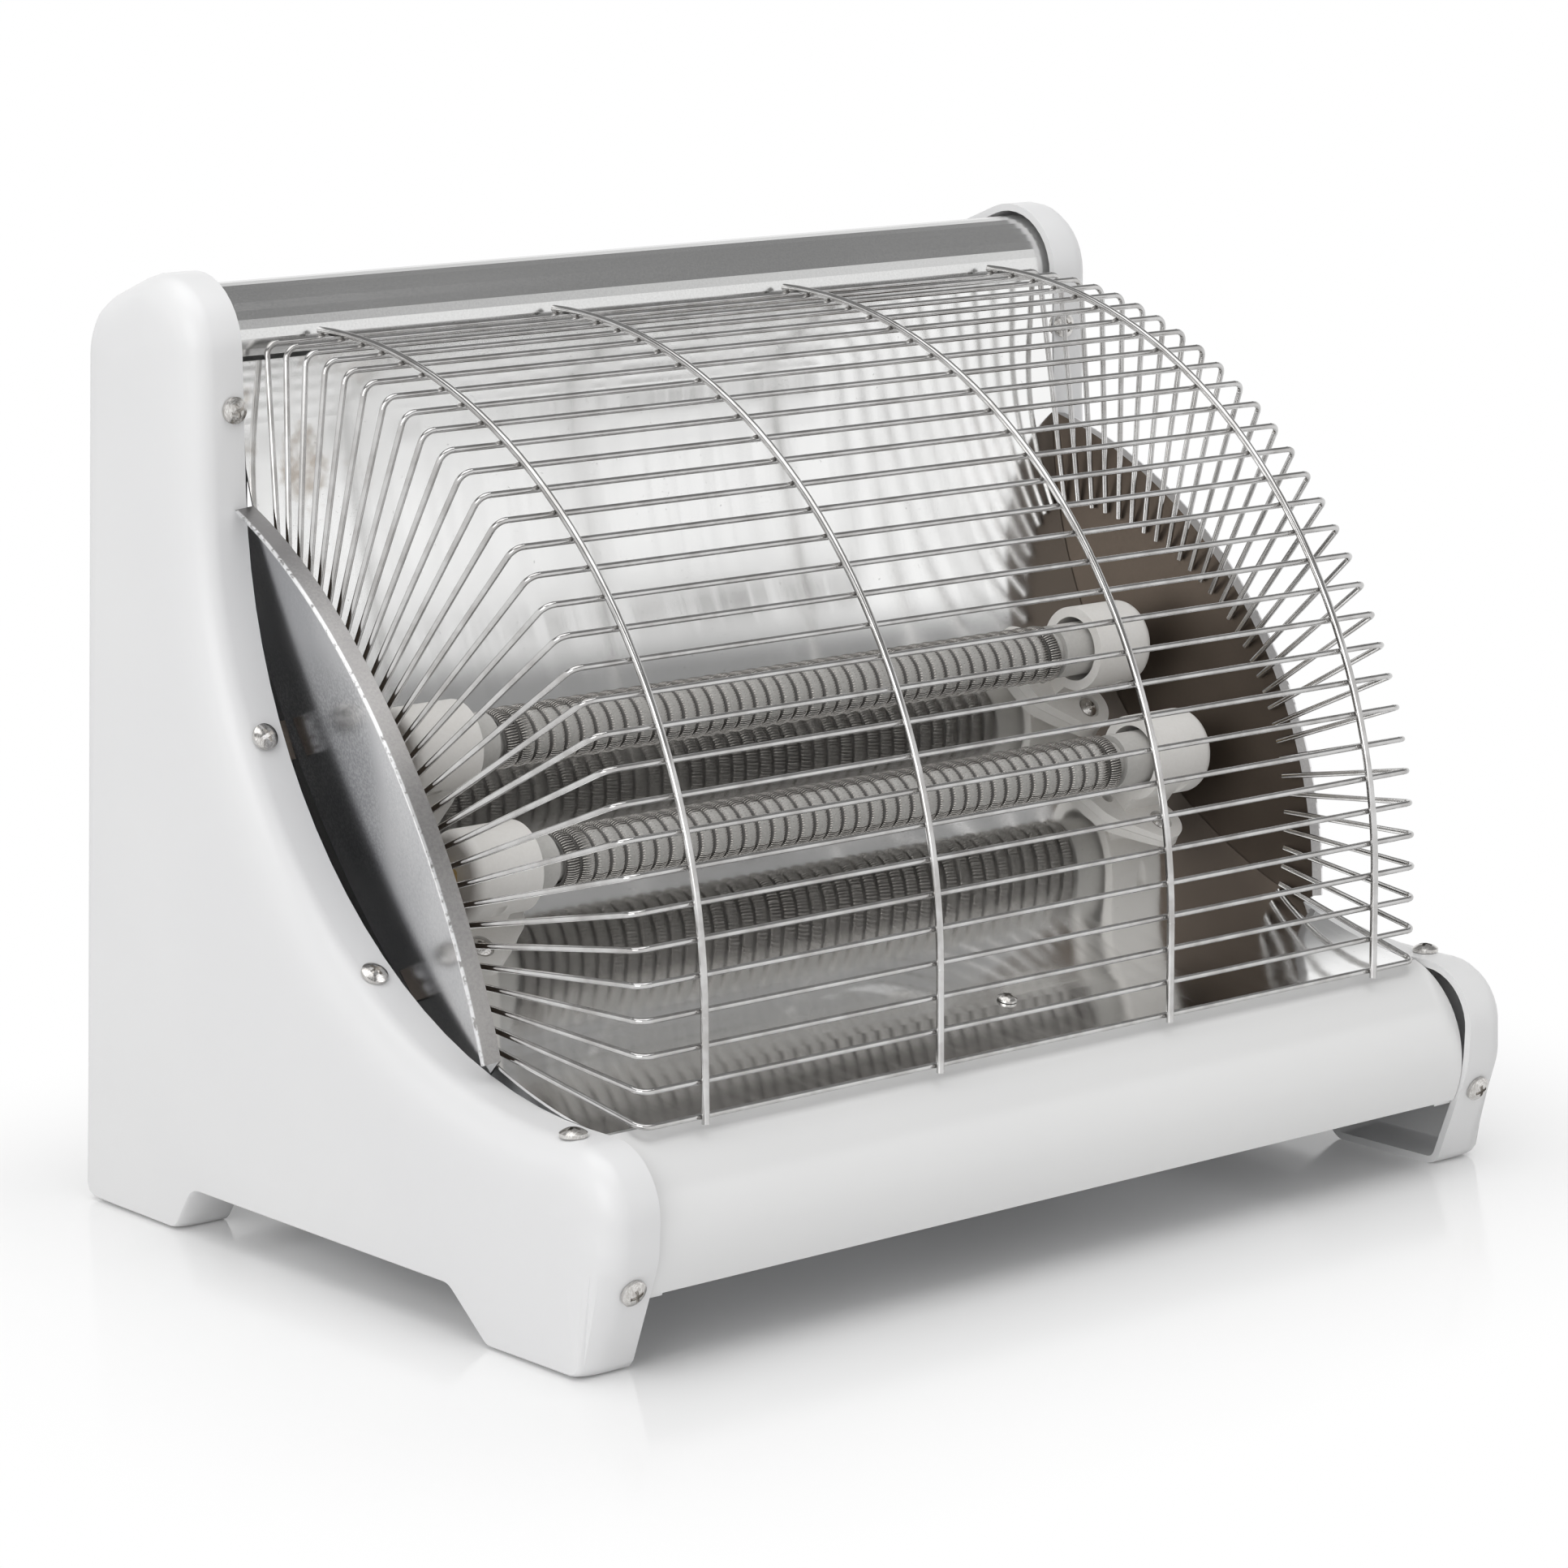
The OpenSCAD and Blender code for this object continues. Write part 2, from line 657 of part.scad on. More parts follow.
module holder(axis, side) {
  gap = norm(refl_c - axis);
  ear = foot_mid + ear_off;
  far_ear = foot_mid - ear_off;
  edge_r = 3.5;
  web_w = 16;
  holder_frame(axis, side) difference() {
    union() {
      translate([cup_face, 0, 0]) rotate([0, 90, 0]) rotate_extrude() {
        square([cup_d / 2, cup_len - edge_r]);
        square([cup_d / 2 - edge_r, cup_len]);
        translate([cup_d / 2 - edge_r, cup_len - edge_r]) circle(edge_r);
      }
      intersection() {
        union() {
          translate([0, 0, -foot_top - foot_t]) linear_extrude(foot_t) {
            tangent_pair(foot_mid, foot_r, ear, ear_r);
            tangent_pair(foot_mid, foot_r, far_ear, ear_r);
          }
          translate([cup_face + 1, -web_w / 2, -foot_top - foot_t])
            cube([cup_len - 5, web_w, foot_top + foot_t / 2]);
        }
        translate([0, 0, gap]) rotate([0, 90, 0])
          cylinder(r = refl_r - touch_gap, h = half_w, $fn = 128);
      }
    }
    translate([cup_face - 1, 0, 0]) rotate([0, 90, 0])
      cylinder(r = cup_bore_d / 2, h = cup_bore_depth + 1);
    translate([cup_face, 0, 0]) rotate([0, 90, 0])
      cylinder(r = lead_r, h = cup_len + 2);
    for (e = [ear, far_ear]) translate([e[0], e[1], 0]) {
      translate([0, 0, -foot_top - counterbore]) cylinder(r = ear_bore_r, h = counterbore + foot_t);
      translate([0, 0, -through]) cylinder(r = ear_hole_r, h = through);
    }
    translate([spare_hole[0], spare_hole[1], -through]) cylinder(r = ear_hole_r, h = through);
  }
}

module upper_left_holder() color([0.95, 0.94, 0.91]) holder(rod_axes[0], -1);

module upper_right_holder() color([0.95, 0.94, 0.91]) holder(rod_axes[0], 1);

module lower_left_holder() color([0.95, 0.94, 0.91]) holder(rod_axes[1], -1);

module lower_right_holder() color([0.95, 0.94, 0.91]) holder(rod_axes[1], 1);

module holder_screws() color([0.5, 0.48, 0.46]) {
  for (side = [-1, 1], a = rod_axes) holder_frame(a, side)
    translate([foot_mid[0] + ear_off[0], foot_mid[1] + ear_off[1],
      -foot_top - counterbore + touch_gap])
      pan_screw(6.4, 2, nut_bore_r * 2 - 2 * touch_gap, 9);
}

// Nuts on the holder screws, behind the reflector
module holder_nuts() color([0.6, 0.6, 0.6]) {
  for (side = [-1, 1], a = rod_axes) holder_frame(a, side)
    translate([foot_mid[0] + ear_off[0], foot_mid[1] + ear_off[1],
      norm(refl_c - a) - refl_r - sheet - nut_h - 2 * seat_gap])
      difference() {
        cylinder(r = 3.6, h = nut_h, $fn = 6);
        translate([0, 0, -nut_h]) cylinder(r = nut_bore_r, h = 3 * nut_h);
      }
}

nut_h = 2;
nut_bore_r = 1.75;

// Ceramic tube under a winding, with a thicker neck at each end
module rod_core(axis) {
  neck_at = winding_half + coil_d / 2 + 2 * touch_gap;
  translate([0, axis[0], axis[1]]) rotate([0, 90, 0]) difference() {
    union() {
      translate([0, 0, -rod_half]) cylinder(r = core_r, h = 2 * rod_half);
      for (s = [0, 1]) mirror([0, 0, s]) translate([0, 0, neck_at])
        cylinder(r = neck_d / 2, h = rod_half - neck_at);
    }
    translate([0, 0, -half_w]) cylinder(r = lead_r, h = 2 * half_w);
  }
}

module upper_rod() color([0.93, 0.91, 0.88]) rod_core(rod_axes[0]);

module lower_rod() color([0.93, 0.91, 0.88]) rod_core(rod_axes[1]);

// Path of a winding: one helix along X
coil_end = winding_half - coil_d / 2;
coil_steps = turn_n * coil_rings;
function coil_point(i) =
  let (a = 360 * i / coil_rings)
  [-coil_end + 2 * coil_end * i / coil_steps, coil_path_r * cos(a), coil_path_r * sin(a)];
coil_path = [for (i = [0 : coil_steps]) coil_point(i)];

// One ring of points around the path
function coil_ring(i) =
  let (n = len(coil_path) - 1)
  let (p = coil_path[i])
  let (t = unit(coil_path[min(i + 1, n)] - coil_path[max(i - 1, 0)]))
  let (e = unit([0, p[1], p[2]]))
  let (b = unit(cross(t, e)), c = cross(b, t))
  [for (k = [0 : coil_sides - 1]) let (a = 360 * k / coil_sides)
    p + coil_d / 2 * (cos(a) * c + sin(a) * b)];

// Least gap of the winding to itself, over points at least half a turn apart
coil_gap = min([for (i = [0 : coil_rings], j = [i + coil_rings / 2 : i + 2 * coil_rings])
  norm(coil_path[i] - coil_path[j])]) - coil_d;
echo("least gap of a winding to itself, mm:", coil_gap);

module winding(axis) {
  translate([0, axis[0], axis[1]]) loft([for (i = [0 : coil_steps]) coil_ring(i)]);
}

module upper_winding() color([0.55, 0.54, 0.52]) winding(rod_axes[0]);

module lower_winding() color([0.55, 0.54, 0.52]) winding(rod_axes[1]);

lead_gap = 0.2;

// Studs and nuts behind the cups that take the heating wire's ends
module terminals() color([0.78, 0.66, 0.38]) {
  for (side = [0, 1], a = rod_axes) mirror([side, 0, 0])
    translate([cup_face + cup_bore_depth + 2 * lead_gap, a[0], a[1]]) rotate([0, 90, 0]) {
      cylinder(r = lead_r - lead_gap, h = 11);
      translate([0, 0, cup_len - cup_bore_depth - seat_gap]) cylinder(r = 3.9, h = 2.4, $fn = 6);
    }
}

// Rectangular box centred on its base's y and z, running along +X
module switch_box(size) {
  translate([0, -size[1] / 2, -size[2] / 2]) cube(size);
}

module switch_housing(z) {
  translate([switch_x, switch_y, z]) difference() {
    union() {
      translate([touch_gap, 0, 0]) switch_box(bezel);
      translate([-switch_body[0], 0, 0]) switch_box([switch_body[0] + 1, switch_body[1],
        switch_body[2]]);
      for (dz = [-5, 5]) translate([-switch_body[0] - 7, -0.4, dz - 2.4]) cube([8, 0.8, 4.8]);
    }
    translate([-6, 0, 0])
      switch_box([12, rocker_size[1] + 2 * seat_gap, rocker_size[2] + 2 * seat_gap]);
    for (y = [-1, 1])
      translate([rocker_pivot, y * (rocker_size[1] + pivot_len - 0.2) / 2, 0]) rotate([90, 0, 0])
        cylinder(r = pivot_r + run_gap, h = pivot_len + 0.2, center = true, $fn = 32);
  }
}

rocker_pivot = -0.6;

// Rocker in its off position: the top half stands out
module rocker(z) {
  h = rocker_size[2] / 2 - 0.5;
  translate([switch_x + rocker_pivot, switch_y, z]) {
    rotate([0, rocker_throw / 2, 0]) rotate([90, 0, 0])
      linear_extrude(rocker_size[1], center = true)
        polygon([[-3, -3.4], [-3, 3.4], [0.6, h], [3.4, h], [2.2, 0], [3.4, -h], [0.6, -h]]);
    rotate([90, 0, 0])
      cylinder(r = pivot_r, h = rocker_size[1] + pivot_len, center = true, $fn = 32);
  }
}

module upper_switch() color([0.1, 0.1, 0.1]) switch_housing(switch_z[0]);

module lower_switch() color([0.1, 0.1, 0.1]) switch_housing(switch_z[1]);

module upper_rocker() color([0.7, 0.08, 0.06]) rocker(switch_z[0]);

module lower_rocker() color([0.7, 0.08, 0.06]) rocker(switch_z[1]);

// Tip-over switch over the base: its bore takes the plunger's whole travel
module tip_switch() color([0.15, 0.15, 0.16]) {
  box = [24, 16];
  spare = 7;
  roof_t = 4;
  bore_len = plunger_travel + plunger_grip + spare;
  translate([plunger_at[0], plunger_at[1], base_top]) difference() {
    translate([-box[0] / 2, -box[1] / 2, 0]) cube([box[0], box[1], bore_len + roof_t]);
    translate([0, 0, -1]) cylinder(r = plunger_r + run_gap, h = bore_len + 1);
  }
}

// Plunger pressed up by the floor, on a wider foot
module tip_plunger() color([0.85, 0.85, 0.84]) {
  foot_h = 3;
  lift = 0.2;
  translate([plunger_at[0], plunger_at[1], 0]) {
    translate([0, 0, foot_h])
      cylinder(r = plunger_r, h = base_top + plunger_travel + plunger_grip - foot_h);
    translate([0, 0, lift]) cylinder(r = plunger_r + 2, h = foot_h);
  }
}

// Block of three ways: a screw hole from above and a wire hole right through for each
module terminal_block() color([0.9, 0.88, 0.84]) {
  size = [34, 16, 14];
  ways = 3;
  way_pitch = 11;
  for_screw_r = 2.6;
  for_wire_r = 1.8;
  translate([95, 60, base_top]) difference() {
    cube(size);
    for (i = [0 : ways - 1]) translate([size[0] / 2 + (i - 1) * way_pitch, 0, 0]) {
      translate([0, size[1] / 2, 5]) cylinder(r = for_screw_r, h = size[2]);
      translate([0, -1, 4]) rotate([-90, 0, 0]) cylinder(r = for_wire_r, h = size[1] + 2);
    }
  }
}

// Cut-out on the back of the reflector: flange, can and two blades
module thermal_cutout() color([0.6, 0.58, 0.55]) {
  turn_down = 35;
  out = turn(-turn_down);
  at = refl_c + out * (refl_r + sheet + touch_gap);
  can_h = 8;
  blade = [4.8, 0.8, 8];
  translate([40, at[0], at[1]]) rotate([atan2(-out[0], out[1]), 0, 0]) {
    cylinder(r = 12, h = 1);
    cylinder(r = 8, h = can_h);
    for (x = [-4, 4]) translate([x - blade[0] / 2, -blade[1] / 2, can_h - 1]) cube(blade);
  }
}

left_end_cap();
right_end_cap();
left_cap_screws();
right_cap_screws();
front_bar();
top_cover();
back_panel();
cord_bush();
base_plate();
reflector();
reflector_screw();
left_side_plate();
right_side_plate();
guard_wires();
guard_hoops();
upper_rod();
lower_rod();
upper_winding();
lower_winding();
upper_left_holder();
upper_right_holder();
lower_left_holder();
lower_right_holder();
holder_screws();
holder_nuts();
terminals();
upper_switch();
lower_switch();
upper_rocker();
lower_rocker();
tip_switch();
tip_plunger();
terminal_block();
thermal_cutout();
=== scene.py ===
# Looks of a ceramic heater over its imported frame: metres, the front faces -Y, +Z is up
import bmesh
import bpy
import json
import math
from mathutils import Matrix, Vector

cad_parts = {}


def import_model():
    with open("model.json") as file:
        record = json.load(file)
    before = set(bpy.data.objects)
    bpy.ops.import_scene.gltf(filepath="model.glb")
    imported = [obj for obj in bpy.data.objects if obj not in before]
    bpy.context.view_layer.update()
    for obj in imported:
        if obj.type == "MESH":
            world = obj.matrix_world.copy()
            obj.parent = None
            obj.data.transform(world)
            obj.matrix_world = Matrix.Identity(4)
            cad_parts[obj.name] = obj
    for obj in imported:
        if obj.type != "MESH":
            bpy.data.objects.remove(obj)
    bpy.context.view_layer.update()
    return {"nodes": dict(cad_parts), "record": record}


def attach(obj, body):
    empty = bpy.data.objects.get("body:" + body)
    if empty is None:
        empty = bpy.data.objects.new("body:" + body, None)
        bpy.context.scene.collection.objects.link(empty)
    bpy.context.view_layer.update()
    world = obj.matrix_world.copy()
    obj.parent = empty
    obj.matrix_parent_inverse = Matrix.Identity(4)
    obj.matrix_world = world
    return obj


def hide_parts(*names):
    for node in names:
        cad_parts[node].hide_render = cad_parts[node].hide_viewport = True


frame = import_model()
NODES = frame["nodes"]
MM = 0.001


# Shader building

class Signal:
    """A shader socket that adds and multiplies as a number does."""

    def __init__(self, finish, socket):
        self.finish = finish
        self.socket = socket

    def maths(self, operation, *terms):
        return self.finish.add("ShaderNodeMath", {"operation": operation}, dict(enumerate(terms)))

    def __add__(self, other):
        return self.maths("ADD", self, other)

    def __sub__(self, other):
        return self.maths("SUBTRACT", self, other)

    def __rsub__(self, other):
        return self.maths("SUBTRACT", other, self)

    def __mul__(self, other):
        return self.maths("MULTIPLY", self, other)

    def __pow__(self, other):
        return self.maths("POWER", self, other)

    def __abs__(self):
        return self.maths("ABSOLUTE", self)

    def at_least(self, floor_value):
        return self.maths("MAXIMUM", self, floor_value)

    __radd__ = __add__
    __rmul__ = __mul__

    def step(self, start, end, low=0.0, high=1.0):
        """Smooth rise from low at start to high at end."""
        inputs = {"Value": self, "From Min": start, "From Max": end, "To Min": low, "To Max": high}
        return self.finish.add("ShaderNodeMapRange", {"interpolation_type": "SMOOTHSTEP"}, inputs)


class Finish:
    """One material: its shader, and the nodes that vary it."""

    def __init__(self, name, **constants):
        self.material = bpy.data.materials.new(name)
        self.material.use_nodes = True
        self.tree = self.material.node_tree
        self.shader = self.tree.nodes["Principled BSDF"]
        self.feed(self.shader, {key.replace("_", " "): value for key, value in constants.items()})

    def feed(self, node, inputs):
        for key, value in inputs.items():
            if isinstance(value, Signal):
                self.tree.links.new(value.socket, node.inputs[key])
            else:
                node.inputs[key].default_value = value

    def add(self, kind, settings=None, inputs=None, output=0):
        node = self.tree.nodes.new(kind)
        for key, value in (settings or {}).items():
            if key == "stops":
                ramp = node.color_ramp.elements
                while len(ramp) < len(value):
                    ramp.new(1.0)
                for element, (place, colour) in zip(ramp, value):
                    element.position = place
                    element.color = (*colour, 1.0)
            else:
                setattr(node, key, value)
        self.feed(node, inputs or {})
        return Signal(self, node.outputs[output])

    def vary(self, **signals):
        self.feed(self.shader, {key.replace("_", " "): signal for key, signal in signals.items()})

    def place(self, scale=(1.0, 1.0, 1.0)):
        """The point on the piece in metres, stretched by scale."""
        here = self.add("ShaderNodeTexCoord", output=3)
        return self.add("ShaderNodeMapping", {}, {"Vector": here, "Scale": scale})

    def axes(self):
        here = self.place()
        return [self.add("ShaderNodeSeparateXYZ", {}, {"Vector": here}, output=i) for i in range(3)]

    def noise(self, scale, detail=3.0, roughness=0.5, stretch=(1.0, 1.0, 1.0)):
        inputs = {"Vector": self.place(stretch), "Scale": scale, "Detail": detail, "Roughness": roughness}
        return self.add("ShaderNodeTexNoise", {}, inputs)

    def blend(self, amount, first, second):
        inputs = {0: amount, 6: colour(first), 7: colour(second)}
        return self.add("ShaderNodeMix", {"data_type": "RGBA"}, inputs, output=2)

    def relief(self, height, distance, strength=1.0):
        inputs = {"Height": height, "Distance": distance, "Strength": strength}
        self.vary(Normal=self.add("ShaderNodeBump", {}, inputs))


def colour(value):
    return value if isinstance(value, Signal) else (*value, 1.0)


# Camera and studio

VIEW_AZIMUTH = math.radians(-39.907)
VIEW_ELEVATION = math.radians(11.314)
VIEW_ROLL = -0.0054
EYE = Vector((-1.0230, -1.2150, 0.4434))
SENSOR_WIDTH = 36.0
LENS = 121.4

# Level of the light on matt faces, and of what polished ones mirror: white in front, and darker
# places to the right, behind and above. Starts and ends are heights or shares of a direction.
WHITE = 1.0
MATT_LEVEL = 0.55
RIGHT_SIDE = {"direction": (0.759, 0.651, 0.0), "start": 0.25, "end": 0.60, "level": 0.05}
REAR = {"direction": (0.64, 0.77, 0.0), "start": 0.0, "end": 0.5}
BACKDROP = {"start": 0.36, "end": 0.55, "low": 1.0, "high": 0.28}
CEILING = {"start": 0.45, "end": 0.55, "level": 0.28}
WAVER_SCALE = 9.0
WAVER_SHARE = 0.05

# Floor: its size, the footprint's half sizes, and where it turns to white past them
FLOOR_SIZE = 12.0
FOOTPRINT = (0.17, 0.11)
SEEN_FADE = (-0.03, 0.17)
MIRRORED_FADE = (0.12, 0.32)


def camera():
    """The photograph's viewpoint, with its slight roll."""
    data = bpy.data.cameras.new("photo_view")
    data.sensor_width = SENSOR_WIDTH
    data.lens = LENS
    eye = bpy.data.objects.new("photo_view", data)
    back = Vector((
        math.sin(VIEW_AZIMUTH) * math.cos(VIEW_ELEVATION),
        -math.cos(VIEW_AZIMUTH) * math.cos(VIEW_ELEVATION),
        math.sin(VIEW_ELEVATION)))
    level = Vector((math.cos(VIEW_AZIMUTH), math.sin(VIEW_AZIMUTH), 0.0))
    right = level * math.cos(VIEW_ROLL) + back.cross(level) * math.sin(VIEW_ROLL)
    turned = Matrix((right, back.cross(right), back)).transposed().to_4x4()
    eye.matrix_world = Matrix.Translation(EYE) @ turned
    bpy.context.scene.collection.objects.link(eye)
    bpy.context.scene.camera = eye


def softbox(name, place, target, size, power):
    """A rectangular studio lamp that points at target."""
    data = bpy.data.lights.new(name, "AREA")
    data.shape = "RECTANGLE"
    data.size, data.size_y = size
    data.energy = power
    lamp = bpy.data.objects.new(name, data)
    lamp.location = place
    lamp.rotation_euler = (Vector(target) - Vector(place)).to_track_quat("-Z", "Y").to_euler()
    bpy.context.scene.collection.objects.link(lamp)


def world():
    """White to the eye, plain grey light on matt faces, and a graded studio in polished ones."""
    sky = bpy.data.worlds.new("studio")
    bpy.context.scene.world = sky
    sky.use_nodes = True
    tree = sky.node_tree
    tree.nodes.clear()

    def node(kind, inputs=None, **settings):
        made = tree.nodes.new(kind)
        for key, value in settings.items():
            setattr(made, key, value)
        for key, value in (inputs or {}).items():
            if isinstance(value, bpy.types.NodeSocket):
                tree.links.new(value, made.inputs[key])
            else:
                made.inputs[key].default_value = value
        return made

    def rise(value, start, end, low, high):
        inputs = {"Value": value, "From Min": start, "From Max": end, "To Min": low, "To Max": high}
        return node("ShaderNodeMapRange", inputs, interpolation_type="SMOOTHSTEP").outputs[0]

    def share_along(direction):
        inputs = {0: toward, 1: direction}
        return node("ShaderNodeVectorMath", inputs, operation="DOT_PRODUCT").outputs["Value"]

    def of_two(operation, first, second):
        return node("ShaderNodeMath", {0: first, 1: second}, operation=operation).outputs[0]

    def mixed(share, first, second):
        return node("ShaderNodeMix", {0: share, 2: first, 3: second}, data_type="FLOAT").outputs[0]

    rays = node("ShaderNodeLightPath")
    toward = node("ShaderNodeTexCoord").outputs["Generated"]
    height = node("ShaderNodeSeparateXYZ", {0: toward}).outputs[2]
    noise = {"Vector": toward, "Scale": WAVER_SCALE, "Detail": 2.0}
    waver = of_two("MULTIPLY", node("ShaderNodeTexNoise", noise).outputs[0], WAVER_SHARE)
    rightward = of_two("ADD", share_along(RIGHT_SIDE["direction"]), waver)
    dark_side = rise(rightward, RIGHT_SIDE["start"], RIGHT_SIDE["end"], WHITE, RIGHT_SIDE["level"])
    behind = rise(share_along(REAR["direction"]), REAR["start"], REAR["end"], 0.0, 1.0)
    backdrop = rise(height, BACKDROP["start"], BACKDROP["end"], BACKDROP["low"], BACKDROP["high"])
    around = mixed(behind, dark_side, backdrop)
    ceiling = rise(height, CEILING["start"], CEILING["end"], 0.0, 1.0)
    gloss = mixed(ceiling, around, CEILING["level"])
    plain = mixed(rays.outputs["Is Glossy Ray"], MATT_LEVEL, gloss)
    seen = of_two("MAXIMUM", rays.outputs["Is Camera Ray"], rays.outputs["Is Transmission Ray"])
    level = mixed(seen, plain, WHITE)
    light = node("ShaderNodeBackground", {"Color": (1.0, 1.0, 1.0, 1.0), "Strength": level})
    out = node("ShaderNodeOutputWorld")
    tree.links.new(light.outputs[0], out.inputs["Surface"])


def floor():
    """A white glossy table that turns to plain white away from the heater."""
    shape = bmesh.new()
    bmesh.ops.create_grid(shape, x_segments=1, y_segments=1, size=FLOOR_SIZE / 2)
    table = finished("floor", shape)
    paint = Finish("floor_gloss", Base_Color=(0.9, 0.9, 0.9, 1.0), Roughness=0.12, Specular_IOR_Level=0.45)
    place = paint.axes()
    past_x, past_y = [(abs(place[i]) - FOOTPRINT[i]).at_least(0.0) for i in range(2)]
    away = (past_x ** 2 + past_y ** 2) ** 0.5
    seen = paint.add("ShaderNodeLightPath", output=0)
    mirrored = paint.add("ShaderNodeLightPath", output=3)
    white = paint.add("ShaderNodeEmission", {}, {"Color": (1.0, 1.0, 1.0, 1.0), "Strength": WHITE})
    surface = Signal(paint, paint.shader.outputs[0])
    share = away.step(*SEEN_FADE) * seen + away.step(*MIRRORED_FADE) * mirrored
    mixed = paint.add("ShaderNodeMixShader", {}, {0: share, 1: surface, 2: white})
    paint.feed(paint.tree.nodes["Material Output"], {"Surface": mixed})
    table.data.materials.append(paint.material)


# Pieces

def finished(name, shape, smooth_angle=None):
    """The object of a finished bmesh, at the origin; edges under smooth_angle are shaded round."""
    data = bpy.data.meshes.new(name)
    if smooth_angle is not None:
        for edge in shape.edges:
            edge.smooth = len(edge.link_faces) == 2 and edge.calc_face_angle() < math.radians(smooth_angle)
        for face in shape.faces:
            face.smooth = True
    shape.to_mesh(data)
    shape.free()
    piece = bpy.data.objects.new(name, data)
    bpy.context.scene.collection.objects.link(piece)
    return piece


def dress(name, finish):
    for slot in NODES[name].material_slots:
        slot.material = finish.material


WELD_REACH = 0.004 * MM
FIELD_DEPTH = 0.02 * MM
CAP_SMOOTH_ANGLE = 38.0


def cap_moulding(side):
    """The end cap's triangles joined, with its flat field filled anew, to shade as one smooth moulding."""
    shape = bmesh.new()
    shape.from_mesh(NODES[side + "_end_cap"].data)
    bmesh.ops.remove_doubles(shape, verts=shape.verts, dist=WELD_REACH)
    field_x = max(abs(vert.co.x) for vert in shape.verts) - FIELD_DEPTH
    field = [face for face in shape.faces if all(abs(vert.co.x) > field_x for vert in face.verts)]
    bmesh.ops.delete(shape, geom=field, context="FACES")
    rim = [edge for edge in shape.edges if edge.is_boundary]
    outward = -1.0 if side == "left" else 1.0
    bmesh.ops.triangle_fill(shape, use_beauty=True, edges=rim, normal=(outward, 0.0, 0.0))
    piece = finished(side + "_cap_moulding", shape, CAP_SMOOTH_ANGLE)
    weighted = piece.modifiers.new("weighted", "WEIGHTED_NORMAL")
    weighted.keep_sharp = True
    return piece


WINDING_HALF = 111.05 * MM
TURNS = 40
PITCH = 2 * WINDING_HALF / TURNS
LOOPS_A_TURN = 67
POINTS_A_LOOP = 7
COIL_RADIUS = 8.08 * MM
LOOP_HEIGHT = 1.0 * MM
LOOP_WIDTH = 2.4 * MM
WIRE_RADIUS = 0.19 * MM
ROD_AXES = {"upper": (10.3 * MM, 152.1 * MM), "lower": (-17.7 * MM, 120.5 * MM)}
FRONT_ANGLE = math.radians(165.0)


def fall(value, start, end):
    """Smooth change from 0 at start to 1 at end."""
    share = min(max((value - start) / (end - start), 0.0), 1.0)
    return share * share * (3.0 - 2.0 * share)


def coiled_wire(which):
    """The heating wire: small flat loops that run round the rod as one long coil."""
    y, z = ROD_AXES[which]
    count = TURNS * LOOPS_A_TURN * POINTS_A_LOOP
    curve = bpy.data.curves.new(which + "_coil", "CURVE")
    curve.dimensions = "3D"
    curve.bevel_depth = WIRE_RADIUS
    curve.bevel_resolution = 0
    line = curve.splines.new("POLY")
    line.points.add(count)
    for i, point in enumerate(line.points):
        loop = 2.0 * math.pi * i / POINTS_A_LOOP
        turn = loop / LOOPS_A_TURN
        reach = COIL_RADIUS + LOOP_HEIGHT * math.sin(loop)
        along = PITCH * turn / (2.0 * math.pi) - WINDING_HALF + LOOP_WIDTH * math.cos(loop)
        point.co = (along, y + reach * math.cos(turn), z + reach * math.sin(turn), 1.0)
    holder = bpy.data.objects.new(which + "_coil", curve)
    bpy.context.scene.collection.objects.link(holder)
    bpy.context.view_layer.update()
    data = bpy.data.meshes.new_from_object(holder)
    bpy.data.objects.remove(holder)
    piece = bpy.data.objects.new(which + "_coil", data)
    bpy.context.scene.collection.objects.link(piece)
    for face in data.polygons:
        face.use_smooth = True
    return piece


BAND_STEPS = 36
BAND_COLUMNS = 8
BAND_GROOVE = 7.5 * MM
BAND_CROWN = 8.15 * MM
BAND_SWELL = 0.35
BAND_WELD_REACH = 0.01 * MM
# How far the crowns stand out on the front, the cosines between which they do, and where they end
FRONT_RAISE = 1.12 * MM
FRONT_SECTOR = (0.54, 0.74)
COVERED_ENDS = (105.0 * MM, 101.0 * MM)
BAND_SMOOTH_ANGLE = 70.0


